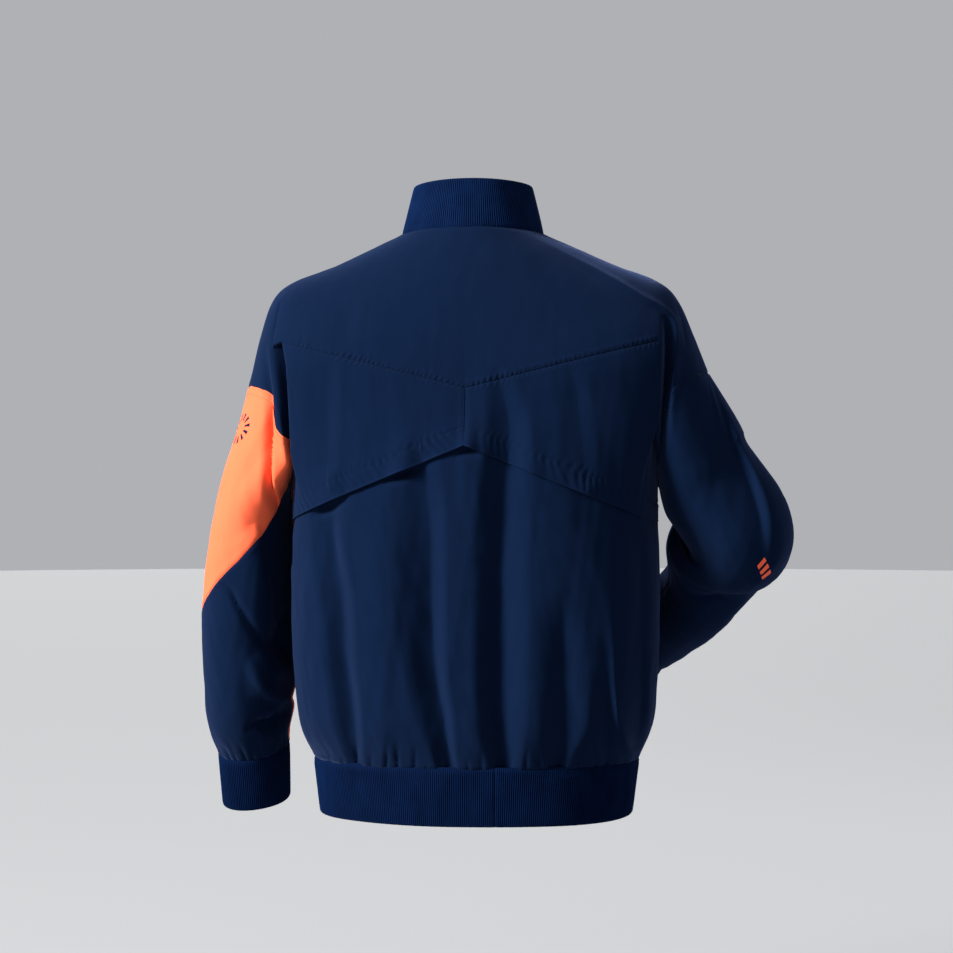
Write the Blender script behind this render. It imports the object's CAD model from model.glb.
"""Looks of the windbreaker: thin cloth shells on the solids' forms, rib knit, stitching and zip.

Metres, +Z up, the wearer's front faces -Y. Columns count round the body from the centre back,
the wearer's left side positive; places count round a sleeve from under the arm.
"""
import math
import bpy
import numpy as np
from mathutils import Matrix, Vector
from mathutils.kdtree import KDTree


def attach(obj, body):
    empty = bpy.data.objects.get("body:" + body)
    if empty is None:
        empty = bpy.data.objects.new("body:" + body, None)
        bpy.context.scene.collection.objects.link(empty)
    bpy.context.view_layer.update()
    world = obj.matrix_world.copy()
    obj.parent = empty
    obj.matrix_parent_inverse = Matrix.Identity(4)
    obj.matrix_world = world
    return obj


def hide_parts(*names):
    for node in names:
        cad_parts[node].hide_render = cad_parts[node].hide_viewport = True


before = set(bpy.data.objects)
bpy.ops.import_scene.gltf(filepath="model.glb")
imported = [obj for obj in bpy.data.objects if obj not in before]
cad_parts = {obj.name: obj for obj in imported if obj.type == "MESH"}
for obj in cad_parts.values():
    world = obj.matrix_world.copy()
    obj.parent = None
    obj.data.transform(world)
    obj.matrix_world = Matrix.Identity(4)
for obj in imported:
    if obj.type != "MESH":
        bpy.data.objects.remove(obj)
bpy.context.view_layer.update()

GARMENT = "garment"
MM = 0.001

# ------------------------------------------------------------ sizes of the solids
COLLAR_TALL = 0.055
WAISTBAND_TALL = 0.062
ZIP_EDGE = 0.006
BACK_COLUMNS = 17
FRONT_COLUMNS = 13
FRONT_CROWD = 0.5
ARMHOLE_COLUMNS = 6
SIDE_COLUMN = BACK_COLUMNS
ZIP_COLUMN = BACK_COLUMNS + FRONT_COLUMNS
BACK_FOLD_COLUMN = SIDE_COLUMN - ARMHOLE_COLUMNS
FRONT_FOLD_COLUMN = SIDE_COLUMN + ARMHOLE_COLUMNS

# each ring of the body: its middle's x, then reach and height at the side, the back and the
# front, how square it is, and how straight it runs down from the centre back
LEVELS = (
    (0.004, 0.0800, 0.0000, 0.072, 0.002, 0.080, -0.078, 2.1, 0.0),    # neck seam
    (0.003, 0.1530, -0.0330, 0.100, -0.050, 0.100, -0.105, 2.1, 0.0),  # middle of the shoulder
    (0.0035, 0.2275, -0.0690, 0.122, -0.108, 0.114, -0.135, 2.2, 0.0),  # shoulder point
    (0.000, 0.2480, -0.1180, 0.136, -0.181, 0.122, -0.172, 2.45, 1.0),  # yoke seam
    (0.000, 0.2450, -0.1900, 0.140, -0.213, 0.126, -0.215, 2.5, 1.0),  # armhole
    (0.0012, 0.2082, -0.3280, 0.146, -0.244, 0.130, -0.300, 2.6, 1.0),  # free edge of the flap
    (0.000, 0.2095, -0.4250, 0.148, -0.375, 0.132, -0.400, 2.7, 0.4),  # middle of the back
    (0.000, 0.2070, -0.5050, 0.146, -0.485, 0.132, -0.495, 2.6, 0.0),  # low back
    (0.000, 0.1990, -0.5660, 0.141, -0.558, 0.129, -0.560, 2.4, 0.0),  # fullest of the blouse
    (0.000, 0.1850, -0.5980, 0.130, -0.596, 0.121, -0.596, 2.15, 0.0),  # waistband seam
)
YOKE_LEVEL = 3
ARMHOLE_LEVEL = 4
FLAP_LEVEL = 5
LAST_LEVEL = len(LEVELS) - 1

# armhole seam: top, under, and how it drops at the back and stays up beside the top
ARMHOLE_TOP = {1: (0.2640, 0.000, -0.172), -1: (0.2640, 0.004, -0.160)}
ARMHOLE_UNDER = {1: (0.2080, 0.000, -0.253), -1: (0.2070, 0.004, -0.262)}
ARMHOLE_ROUND = 1.55
ARMHOLE_DROP = {1: 0.036, -1: 0.006}
DROP_COLUMNS = 6.0
ARMHOLE_RISE = {1: 0.020, -1: 0.004}
RISE_PLACES = 2.6

# middle of each sleeve ring, half width across, half depth fore and aft, slant
SLEEVES = {
    1: (
        (0.2360, 0.003, -0.212, 0.0400, 0.082, 0.028),
        (0.2518, 0.000, -0.280, 0.0412, 0.075, 0.018),
        (0.2632, -0.006, -0.360, 0.0478, 0.071, 0.008),
        (0.2705, -0.014, -0.440, 0.0505, 0.068, 0.002),
        (0.2718, -0.026, -0.510, 0.0498, 0.064, 0.000),
        (0.2725, -0.038, -0.560, 0.0482, 0.057, 0.000),
        (0.2690, -0.048, -0.598, 0.0410, 0.042, 0.000),
    ),
    -1: (
        (-0.2350, 0.005, -0.212, 0.0440, 0.082, 0.032),
        (-0.2610, 0.010, -0.275, 0.0580, 0.076, 0.024),
        (-0.2955, -0.002, -0.3415, 0.0622, 0.070, 0.018),
        (-0.2836, -0.027, -0.362, 0.0655, 0.062, 0.012),
        (-0.2609, -0.058, -0.405, 0.0440, 0.055, 0.005),
        (-0.2154, -0.129, -0.454, 0.0432, 0.047, -0.012),
        (-0.1840, -0.168, -0.487, 0.0370, 0.038, 0.000),
    ),
}
LAST_STATION = 6.0
# places round a sleeve, from under the arm over its back, top and front
ROUND = 24
# open end of each cuff: middle, half width, half depth
CUFF_ENDS = {1: (0.2685, -0.061, -0.6600, 0.0390, 0.037), -1: (-0.1580, -0.207, -0.525, 0.0360, 0.037)}
# lower edge of the colour block by place round the sleeve, with its jump at the pleat
BLOCK_COLUMNS = (0, 1, 2, 2.5, 3, 4, 6, 9, 12, 18, 22, 24)
BLOCK_SHARE = (0.03, 0.068, 0.10, 0.14, 0.21, 0.272, 0.347, 0.442, 0.513, 0.78, 0.93, 0.98)
# how far out the yoke's strips begin, in columns past the fold column, by level
STRIP_SHIFT = {1: {3: 0.8, 4: 0.0}, -1: {3: 0.5, 4: 0.5}}
STRIP_REACH = 4.0
# how the pleat behind the left arm draws the armhole seam down and up, by place, in mm
PLEAT_PLACES = (4.0, 5.0, 5.5, 6.0, 6.5, 7.0, 7.7, 7.9, 8.5, 9.0, 9.5, 10.0, 10.5)
PLEAT_PULL = (0, -6, -8, -9, -10, -15, -21, 8, 2, -3, -4, -3, 0)

# ---------------------------------------------------- creases, placed by hand
# each: name, how sharp 0 to 1, path rows in mm (across, height, reach, other reach, out).
# The first reach is on the +across side of a path that runs down, or below one that
# runs towards -across. Out is positive for a ridge and negative for a trough.
BACK_CREASES = (
    ("centre trough", 0.30, ((-30, -156, 12, 12, 0), (-38, -178, 22, 18, -3.0),
        (-46, -212, 28, 24, -8.0), (-47, -246, 32, 28, -11.0), (-43, -290, 32, 32, -13.5),
        (-38, -400, 32, 34, -17.0), (-37, -520, 30, 34, -18.0), (-40, -575, 24, 24, -14.0),
        (-41, -600, 18, 16, -9.0))),
    ("left trough", 0.20, ((46, -262, 34, 20, -4.0), (41, -300, 42, 22, -9.0),
        (38, -345, 44, 20, -13.0), (37, -410, 44, 19, -15.5), (35, -465, 42, 17, -17.0),
        (31, -505, 34, 15, -17.0), (24, -540, 30, 13, -15.0), (18, -592, 18, 10, -9.0))),
    ("left side trough", 0.15, ((150, -300, 30, 14, -3.0), (149, -345, 34, 15, -13.5),
        (138, -410, 30, 17, -15.0), (134, -475, 28, 16, -16.0), (126, -540, 26, 14, -14.0),
        (123, -592, 16, 10, -7.0))),
    ("left flap trough", 0.10, ((156, -140, 26, 16, 0), (154, -190, 30, 18, -3.5),
        (152, -262, 30, 16, -4.5))),
    ("left ridge", 0.10, ((92, -290, 30, 26, 1.0), (92, -430, 32, 26, 2.5), (90, -575, 24, 20, 2.5))),
    ("right trough", 0.50, ((-104, -400, 26, 24, 0), (-106, -450, 34, 26, -7.0),
        (-106, -480, 34, 28, -10.0), (-106, -540, 30, 28, -12.0), (-102, -575, 22, 16, -11.0),
        (-98, -600, 14, 10, -6.0))),
    ("right side trough", 0.20, ((-186, -330, 16, 12, -1.5), (-189, -430, 18, 12, -7.0),
        (-188, -530, 18, 12, -8.5), (-184, -575, 14, 10, -5.0))),
    ("right side ridge", 0.60, ((-156, -395, 12, 14, 0), (-158, -440, 12, 18, 3.0),
        (-162, -520, 9, 16, 6.0), (-167, -552, 8, 14, 6.5), (-176, -582, 6, 10, 4.0))),
    ("right low hollow", 0.30, ((-150, -480, 16, 12, 0), (-153, -540, 20, 10, -6.0),
        (-152, -592, 14, 8, -4.5))),
    ("right flap trough", 0.20, ((-112, -150, 22, 16, 0), (-122, -205, 26, 18, -3.5),
        (-128, -275, 26, 18, -2.5))),
    ("left yoke hollow", 0.10, ((150, -60, 20, 20, 0), (138, -105, 24, 20, -1.6),
        (128, -165, 20, 16, 0))),
    ("right shoulder ridge", 0.75, ((-62, -6, 8, 5, 0), (-101, -26, 10, 6, 1.8),
        (-145, -49, 11, 6, 3.0), (-189, -76, 10, 6, 4.2), (-208, -86, 9, 6, 4.6),
        (-221, -96, 8, 5, 4.8), (-227, -106, 7, 5, 4.6), (-229, -122, 6, 5, 3.8),
        (-229, -138, 5, 5, 0))),
    ("right armhole fold", 0.35, ((-213, -98, 4, 8, 0), (-214.5, -112, 4, 12, -10.0),
        (-215, -138, 4, 13, -15.0), (-214, -170, 4, 13, -17.0), (-212, -200, 4, 12, -17.0),
        (-210, -235, 4, 11, -14.0), (-208, -265, 4, 9, -8.0), (-207, -295, 4, 6, 0))),
    ("right strip ridge", 0.60, ((-229, -136, 3, 8, 0), (-227, -152, 3, 9, 3.4),
        (-223, -184, 3, 9, 3.8), (-221, -230, 3, 9, 0))),
    ("right sleeve head fold", 0.80, ((-226, -80, 4, 5, 0), (-232, -97, 4, 6, -4.0),
        (-236, -118, 4, 8, -4.0), (-239, -142, 4, 8, 0))),
    ("left wedge", 0.35, ((212, -127, 14, 3, 0), (210.8, -132, 16, 2.5, -15.0),
        (205.2, -159, 17, 2.5, -18.0), (201.9, -205, 13, 2.5, -18.0), (200.6, -238, 8, 2.5, -15.0),
        (199.1, -264, 5, 2.5, -9.0), (198, -300, 5, 3, 0))),
    ("left pleat", 0.50, ((231, -118, 8, 3, 0), (230, -134, 11, 3.5, -2.0), (227, -158, 13, 3.5, -6.0),
        (222.5, -187, 14, 3.5, -10.0), (221.5, -221, 14, 3.5, -12.0), (222.5, -256, 14, 3.5, -12.0),
        (223.5, -287, 13, 3.5, -11.0), (223, -307, 11, 3.5, -9.0), (220, -325, 11, 4, 0))),
    ("left sleeve head fold", 0.80, ((217, -76, 4, 3, 0), (218.5, -84, 4, 3, -2.0),
        (221, -108, 4, 3, -2.5), (223, -134, 4, 3, 0))),
    ("left inner shadow", 0.40, ((212, -285, 9, 4, 0), (210, -294, 9, 4, -14.0),
        (208.5, -326, 9, 4, -16.0), (206, -354, 9, 4, -14.0), (205, -376, 8, 4, -6.0))),
    ("left elbow crease", 0.60, ((294, -394, 7, 7, 0), (287, -397, 7, 7, -2.0), (276, -404, 7, 8, -3.5),
        (268, -419, 7, 8, -3.8), (252, -448, 8, 8, -4.2), (237, -476, 8, 8, -4.5),
        (227, -497, 7, 7, -2.0))),
    ("left sleeve bulge", 0.30, ((262, -470, 14, 12, 0), (250, -502, 14, 12, 5.0),
        (236, -522, 12, 9, 7.0), (227, -534, 8, 8, 4.0))),
    ("right sleeve thin ridge", 0.90, ((-261, -158, 3, 3, 0), (-266, -176, 3, 4, 2.8),
        (-271, -195, 3, 4, 3.2), (-279, -225, 4, 5, 2.2), (-284, -243, 5, 5, 0))),
    ("right sleeve long hollow", 0.10, ((-262, -165, 34, 6, 0), (-272, -190, 50, 9, -7.0),
        (-288, -237, 68, 11, -14.0), (-304, -275, 80, 12, -17.0), (-316, -308, 74, 12, -14.0),
        (-322, -345, 54, 12, -7.0), (-322, -380, 36, 10, 0))),
    ("right elbow fold", 0.70, ((-238, -407, 10, 8, 0), (-257, -412, 12, 6, -5.0),
        (-278, -411, 12, 6, -6.0), (-292, -426, 8, 6, -3.0), (-300, -440, 6, 6, 0))),
    ("right elbow ridge", 0.60, ((-352, -350, 10, 8, 0), (-340, -372, 12, 10, 3.0),
        (-318, -398, 10, 8, 3.0), (-303, -412, 8, 8, 0))),
)
# where the inner side of the left sleeve falls away behind its folds
LEFT_RECESS = (
    ("upper facet", 0.20, ((246, -330, 24, 6, 0), (240, -350, 34, 6, 6.0), (234, -400, 38, 5, 11.0),
        (233, -425, 36, 5, 10.0), (236, -450, 28, 4, 5.5), (240, -462, 16, 4, 0))),
    ("lower facet", 0.20, ((240, -466, 22, 4, 2.5), (232, -480, 34, 4, 9.0), (226, -500, 40, 4, 14.5),
        (225, -520, 40, 4, 14.5), (222, -538, 34, 4, 10.0), (228, -548, 22, 5, 4.5))),
    ("inner recess", 0.50, ((223, -424, 2, 5, 0), (222, -430, 3, 10, -8.0), (226.5, -442, 3, 18, -17.0),
        (234.5, -463, 4, 24, -22.0), (230, -482, 4, 22, -20.0), (224, -498, 4, 18, -14.0),
        (225, -513, 4, 18, -14.0), (224, -525, 4, 16, -11.0), (221, -537, 3, 10, -4.0))),
    ("low recess", 0.50, ((266, -574, 14, 3, 0), (262, -564, 18, 4, -5.0), (254.5, -558, 24, 4, -9.0),
        (239, -554, 28, 4, -13.0), (222, -541, 30, 4, -13.0))),
)
# pockets that open under the flap's free edge, in the back body only
POCKETS = (
    ("left pocket", 0.20, ((176, -322, 8, 8, 0), (153, -311, 11, 9, -7.0), (130, -300, 8, 8, 0))),
    ("middle pocket", 0.20, ((92, -283, 8, 8, 0), (66, -273, 11, 8, -7.0), (44, -265, 8, 8, 0))),
    ("top pocket", 0.20, ((14, -254, 7, 7, 0), (-4, -249, 10, 8, -6.0), (-20, -254, 7, 7, 0))),
)
FRONT_CREASES = (
    ("left front trough", 0.30, ((66, -318, 20, 24, 0), (72, -390, 24, 27, -5.0),
        (80, -500, 26, 25, -9.5), (86, -592, 18, 16, -6.0))),
    ("left outer trough", 0.20, ((138, -350, 18, 18, 0), (146, -470, 20, 20, -6.0),
        (150, -588, 14, 14, -4.0))),
    ("left inner trough", 0.30, ((36, -430, 12, 14, 0), (35, -520, 15, 14, -4.0),
        (34, -592, 10, 10, -3.0))),
    ("left drag fold", 0.50, ((184, -262, 10, 8, 0), (150, -284, 13, 9, -5.0),
        (108, -318, 14, 11, -4.0), (78, -352, 14, 12, 0))),
    ("left chest fold", 0.30, ((172, -118, 10, 8, 0), (164, -160, 13, 9, -6.0),
        (158, -205, 12, 9, -6.0), (160, -240, 10, 8, 0))),
    ("right front trough", 0.30, ((-60, -350, 20, 22, 0), (-70, -440, 24, 24, -6.5),
        (-74, -540, 24, 22, -9.0), (-76, -594, 16, 14, -5.0))),
    ("right outer trough", 0.25, ((-128, -330, 16, 16, 0), (-138, -430, 20, 18, -6.0),
        (-142, -530, 18, 18, -7.0), (-139, -590, 12, 12, -4.0))),
    ("right inner trough", 0.30, ((-34, -470, 12, 12, 0), (-36, -540, 13, 13, -3.5),
        (-37, -594, 9, 9, -3.0))),
    ("right drag fold", 0.50, ((-180, -270, 8, 10, 0), (-140, -282, 9, 12, -5.5),
        (-96, -288, 9, 13, -4.5), (-52, -284, 9, 12, 0))),
    ("right chest fold", 0.30, ((-168, -110, 8, 10, 0), (-163, -150, 9, 13, -6.0),
        (-160, -196, 9, 12, -6.5), (-164, -236, 8, 10, 0))),
    ("left sleeve front fold", 0.40, ((236, -170, 9, 12, 0), (234, -230, 9, 13, -7.0),
        (238, -300, 9, 13, -5.0), (246, -352, 8, 10, 0))),
    ("left elbow front fold", 0.70, ((222, -404, 8, 8, 0), (246, -412, 9, 8, -6.0),
        (272, -406, 8, 8, -5.0), (300, -396, 7, 7, 0))),
    ("left low front fold", 0.60, ((226, -470, 8, 8, 0), (252, -482, 9, 8, -5.0),
        (286, -474, 8, 8, 0))),
    ("right inner elbow fold", 0.70, ((-226, -330, 8, 9, 0), (-246, -346, 9, 10, -8.0),
        (-272, -352, 9, 10, -8.0), (-300, -344, 8, 8, 0))),
    ("right forearm fold", 0.50, ((-262, -382, 8, 8, 0), (-236, -404, 9, 9, -5.0),
        (-212, -432, 8, 9, -4.0), (-196, -456, 7, 7, 0))),
)
# seen from the wearer's left, across is y
LEFT_CREASES = (
    ("outer elbow crease", 0.80, ((-12, -404, 8, 7, 0), (-26, -410, 9, 8, -2.5),
        (-44, -414, 9, 8, -3.0), (-70, -406, 8, 8, 0))),
    ("outer low crease", 0.70, ((-24, -462, 8, 8, 0), (-40, -472, 10, 9, -3.0),
        (-56, -474, 10, 9, -3.5), (-84, -462, 8, 8, 0))),
    ("outer long fold", 0.30, ((8, -200, 12, 12, 0), (4, -280, 13, 13, -4.0), (0, -360, 12, 12, 0))),
    ("outer front fold", 0.30, ((-28, -210, 11, 11, 0), (-34, -290, 13, 13, -5.0),
        (-40, -370, 11, 11, 0))),
    ("shoulder dimple", 0.40, ((10, -96, 12, 12, 0), (6, -128, 14, 14, -3.0), (2, -158, 11, 11, 0))),
)
# the inner side of the left sleeve, where it swells towards the body
LEFT_INNER_CREASES = (
    ("inner swell", 0.0, ((-18, -296, 30, 30, 0), (-24, -350, 40, 40, 4.0), (-28, -420, 46, 46, 8.5),
        (-34, -500, 44, 44, 7.5), (-38, -545, 34, 34, 2.0), (-42, -575, 26, 26, 0))),
)
# seen from the wearer's right, across is y
RIGHT_CREASES = (
    ("outer long fold", 0.30, ((2, -196, 12, 12, 0), (5, -250, 14, 14, -4.5), (8, -306, 12, 12, 0))),
    ("outer front fold", 0.30, ((-30, -206, 11, 11, 0), (-34, -262, 13, 13, -5.0),
        (-40, -318, 11, 11, 0))),
    ("elbow crease", 0.80, ((-6, -346, 7, 8, 0), (-20, -350, 8, 9, -3.0), (-36, -350, 8, 9, -3.5),
        (-60, -342, 7, 7, 0))),
    ("forearm crease", 0.70, ((-20, -402, 8, 8, 0), (-52, -408, 8, 8, -4.0), (-88, -428, 8, 8, 0))),
)

# how the flap's free edge stands off between the pockets: across, half width, lift, in mm
FLAP_LIFTS = ((151, 24, 6.0), (66, 22, 6.0), (-4, 14, 5.0), (-70, 20, 2.5), (-128, 22, 3.0),
              (-172, 14, 2.0))
# gathers over the waistband at the back: across, half width, depth, how tall, in mm
BACK_GATHERS = (
    (158, 4.0, 1.6, 24), (141, 3.4, 1.2, 16), (125, 4.2, 2.2, 38), (107, 3.6, 1.6, 22),
    (89, 4.6, 2.4, 44), (76, 4.0, 2.6, 38), (57, 4.4, 2.2, 34), (43, 2.8, 1.0, 12),
    (29, 4.6, 2.2, 40), (12, 3.8, 1.6, 26), (-3, 3.2, 1.8, 18), (-17, 3.6, 1.4, 30),
    (-34, 4.8, 2.6, 52), (-47, 3.0, 1.4, 20), (-57, 2.6, 1.2, 14), (-64, 3.0, 1.8, 32),
    (-79, 3.8, 1.6, 22), (-90, 3.2, 2.2, 42), (-106, 4.0, 1.8, 26), (-120, 3.0, 1.6, 18),
    (-127, 2.6, 1.2, 12), (-140, 3.6, 2.2, 36), (-149, 2.8, 1.4, 18), (-160, 3.4, 1.8, 28),
    (-170, 2.8, 1.4, 14),
)


# ------------------------------------------------------------------------ curves
def ease(value):
    value = np.clip(value, 0.0, 1.0)
    return value * value * (3.0 - 2.0 * value)


def bump(across):
    """A soft hump: 1 in the middle, 0 beyond one half width."""
    return np.where(np.abs(across) < 1, 0.5 + 0.5 * np.cos(np.pi * np.clip(across, -1, 1)), 0.0)


def unit(vectors):
    return vectors / np.maximum(np.linalg.norm(vectors, axis=-1, keepdims=True), 1e-12)


def run_along(points):
    """Length run at each point of a line, from its start."""
    return np.concatenate([[0.0], np.cumsum(np.linalg.norm(np.diff(points, axis=0), axis=1))])


def sampled(where, known, values):
    """Rows of values, known at rising places, read off between them."""
    return np.stack([np.interp(where, known, column) for column in values.T], axis=-1)


def numbered(grid):
    """The number of each point of a grid."""
    return np.arange(grid[..., 0].size).reshape(grid.shape[:2])


def hermite(here, after, pull_here, pull_after, part):
    square = part * part
    cube = square * part
    return ((2 * cube - 3 * square + 1) * here + (3 * square - 2 * cube) * after
            + (cube - 2 * square + part) * pull_here + (cube - square) * pull_after)


def through(knots, where):
    """Smooth curves through knots (knot, column, xyz) at whole-and-part knot numbers."""
    step = np.diff(knots, axis=0)
    length = np.maximum(np.linalg.norm(step, axis=2, keepdims=True), 1e-6)
    slope = step / length
    tangent = np.empty_like(knots)
    tangent[0] = slope[0]
    tangent[-1] = slope[-1]
    tangent[1:-1] = ((slope[:-1] * length[1:] + slope[1:] * length[:-1])
                     / (length[1:] + length[:-1]))
    rows = []
    for place in where:
        first = min(max(int(place), 0), len(knots) - 2)
        rows.append(hermite(knots[first], knots[first + 1], tangent[first] * length[first],
                            tangent[first + 1] * length[first], place - first))
    return np.array(rows)


def even_spline(values, where):
    """Smooth values through evenly spaced table rows."""
    values = np.asarray(values, float)
    slope = np.gradient(values, axis=0)
    first = np.clip(np.floor(where).astype(int), 0, len(values) - 2)
    part = (where - first)[:, None]
    return hermite(values[first], values[first + 1], slope[first], slope[first + 1], part)


def stretches(rows):
    """Places over stretches (low, high, cells, end): 0 even, 1 close at both ends, 2 at the high end."""
    found = [rows[0][0]]
    for low, high, count, end in rows:
        part = np.arange(1, count + 1) / count
        if end == 1:
            part = part - 0.6 * np.sin(2 * np.pi * part) / (2 * np.pi)
        if end == 2:
            part = 0.5 * part + 0.5 * np.sin(np.pi * part / 2)
        found.extend(low + (high - low) * part)
    return np.array(found)


# -------------------------------------------------------------------- body surface
QUARTER_SAMPLES = 2401


def quarter_points(side, reach, square, shares):
    """Points at even shares of the length of a quarter of a squared ellipse."""
    turn = np.linspace(0.0, math.pi / 2, QUARTER_SAMPLES)
    across = side * np.sin(turn) ** (2 / square)
    out = reach * np.cos(turn) ** (2 / square)
    length = np.concatenate([[0.0], np.cumsum(np.hypot(np.diff(across), np.diff(out)))])
    target = shares * length[-1]
    return np.interp(target, length, across), np.interp(target, length, out)


def level_ring(level, columns):
    """Points of one level at columns counted from the centre back, left side positive."""
    mid_x, side_x, side_z, back_y, back_z, front_y, front_z, square, vee = LEVELS[level]
    points = np.zeros((len(columns), 3))
    count = np.abs(columns)
    sign = np.where(columns < 0, -1.0, 1.0)
    on_back = count <= BACK_COLUMNS
    shift = np.where(sign > 0, STRIP_SHIFT[1].get(level, 0.0), STRIP_SHIFT[-1].get(level, 0.0))
    turned_by = (count + shift * bump((count - BACK_FOLD_COLUMN) / STRIP_REACH))[on_back]
    x, y = quarter_points(side_x, back_y, square, turned_by / BACK_COLUMNS)
    weight = (1 - vee) * (y / back_y) ** 2 + vee * (1 - x / side_x)
    points[on_back, 0] = x * sign[on_back] + mid_x * x / side_x
    points[on_back, 1] = y
    points[on_back, 2] = side_z + (back_z - side_z) * weight
    front = ~on_back
    share = (ZIP_COLUMN - count[front]) / FRONT_COLUMNS
    share = share + FRONT_CROWD * share * (1 - share)
    x, y = quarter_points(side_x, front_y, square, share)
    points[front, 0] = x * sign[front] + mid_x * x / side_x
    points[front, 1] = -y
    points[front, 2] = side_z + (front_z - side_z) * (y / front_y) ** 2
    if level == ARMHOLE_LEVEL:
        drop = np.where(sign > 0, ARMHOLE_DROP[1], ARMHOLE_DROP[-1])
        points[:, 2] -= drop * bump((count - BACK_FOLD_COLUMN) / DROP_COLUMNS)
    return points


def armhole_loop(side, places):
    """Armhole seam at places 0 to 24: under, back (6), top (12), front (18), under."""
    fold = level_ring(ARMHOLE_LEVEL, np.array([BACK_FOLD_COLUMN, FRONT_FOLD_COLUMN]) * float(side))
    top = np.array(ARMHOLE_TOP[side]) * (side, 1, 1)
    under = np.array(ARMHOLE_UNDER[side]) * (side, 1, 1)
    knots = np.array([under, fold[0], top, fold[1]])
    places = np.asarray(places, float)
    place = places / ARMHOLE_COLUMNS
    first = np.floor(place).astype(int) % 4
    part = (place - np.floor(place))[..., None]
    here = knots[first]
    after = knots[(first + 1) % 4]
    pull_here = (after - knots[(first + 3) % 4]) / 2 * ARMHOLE_ROUND
    pull_after = (knots[(first + 2) % 4] - here) / 2 * ARMHOLE_ROUND
    loop = hermite(here, after, pull_here, pull_after, part)
    loop[..., 2] += ARMHOLE_RISE[side] * bump((places - 9) / RISE_PLACES)
    if side > 0:
        loop[..., 2] += np.interp(places, PLEAT_PLACES, PLEAT_PULL) * MM
    return loop


def torso(columns, places, upper):
    """The body's surface; upper is the part that ends at the armhole from above."""
    columns = np.asarray(columns, float)
    rings = np.array([level_ring(level, columns) for level in range(len(LEVELS))])
    near_zip = np.maximum(0.0, 1.0 - (ZIP_COLUMN - np.abs(columns)))
    rings[:, :, 0] += np.sign(columns) * ZIP_EDGE * near_zip
    whole = through(rings, places)
    beside = np.abs(np.abs(columns) - SIDE_COLUMN)
    for side in (1, -1):
        mine = (beside < ARMHOLE_COLUMNS) & (np.sign(columns) == side)
        if not mine.any():
            continue
        offset = np.abs(columns[mine]) - SIDE_COLUMN
        around = ROUND / 2 + offset if upper else np.where(offset <= 0, -offset, ROUND - offset)
        knots = rings[:, mine].copy()
        knots[ARMHOLE_LEVEL] = armhole_loop(side, around)
        part = knots[:ARMHOLE_LEVEL + 1] if upper else knots[ARMHOLE_LEVEL:]
        start = 0 if upper else ARMHOLE_LEVEL
        cut = through(part, [place - start for place in places])
        share = ease(ARMHOLE_COLUMNS - beside[mine])[None, :, None]
        whole[:, mine] += (cut - whole[:, mine]) * share
    return whole


STEP = 0.02


def torso_grid(columns, upper_places, lower_places):
    """Points and outward directions, rows of the upper part of the body and then of the lower."""
    points = []
    outs = []
    for upper, rows in ((True, upper_places), (False, lower_places)):
        rows = np.asarray(rows, float)
        if len(rows) == 0:
            continue
        points.append(torso(columns, rows, upper))
        across = torso(columns + STEP, rows, upper) - torso(columns - STEP, rows, upper)
        down = torso(columns, rows + STEP, upper) - torso(columns, rows - STEP, upper)
        outs.append(unit(np.cross(across, down)))
    return np.concatenate(points), np.concatenate(outs)


# ------------------------------------------------------------------ sleeve surface
ROWS_PER_STATION = 120
# stations over which a sleeve takes up its own form below the armhole, and its outer creases
HEAD_STATIONS = 1.6
CREASE_STATIONS = 1.2


def sleeve_frames(side):
    """Fine run down a sleeve: middles, across, fore-and-aft and down directions, sizes."""
    table = np.array(SLEEVES[side])[:, None, :]
    fine = np.linspace(0, len(table) - 1, ROWS_PER_STATION * (len(table) - 1) + 1)
    run = through(table[:, :, :3], fine)[:, 0]
    sizes = even_spline(table[:, 0, 3:6], fine)
    down = unit(np.gradient(run, axis=0))
    across = np.zeros_like(run)
    current = np.array([float(side), 0.0, 0.0])
    for row in range(len(run)):
        current = current - down[row] * current.dot(down[row])
        current /= np.linalg.norm(current)
        across[row] = current
    back = np.cross(down, across) * side
    back *= np.sign(back[0, 1])
    return fine, run, across, back, down, sizes


SLEEVE_DATA = {side: sleeve_frames(side) for side in (1, -1)}


def sleeve(side, places, stations):
    """Points of a sleeve: place round it 0 to 24, station along it 0 to 6."""
    fine, run, across, back, down, sizes = SLEEVE_DATA[side]

    def at(values):
        return sampled(stations, fine, values)

    turn = np.pi * (1 - places / (ROUND / 2))
    size = at(sizes)
    ring = (at(run) + (size[..., :1] * at(across) - size[..., 2:] * at(down)) * np.cos(turn)[..., None]
            + size[..., 1:2] * at(back) * np.sin(turn)[..., None])
    start = (run[0] + (sizes[0, 0] * across[0] - sizes[0, 2] * down[0]) * np.cos(turn)[..., None]
             + sizes[0, 1] * back[0] * np.sin(turn)[..., None])
    reach = np.clip(stations / HEAD_STATIONS, 0.0, 1.0)
    fade = (1 - reach) ** 2 * (1 + 2 * reach)
    return ring + fade[..., None] * (armhole_loop(side, places) - start)


def sleeve_grid(side, places, stations):
    """Points and outward directions over grids of places and stations."""
    places, stations = np.broadcast_arrays(places, stations)
    points = sleeve(side, places, stations)
    round_it = sleeve(side, places + STEP, stations) - sleeve(side, places - STEP, stations)
    along = sleeve(side, places, stations + STEP) - sleeve(side, places, stations - STEP)
    return points, unit(np.cross(round_it, along)) * side


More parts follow.
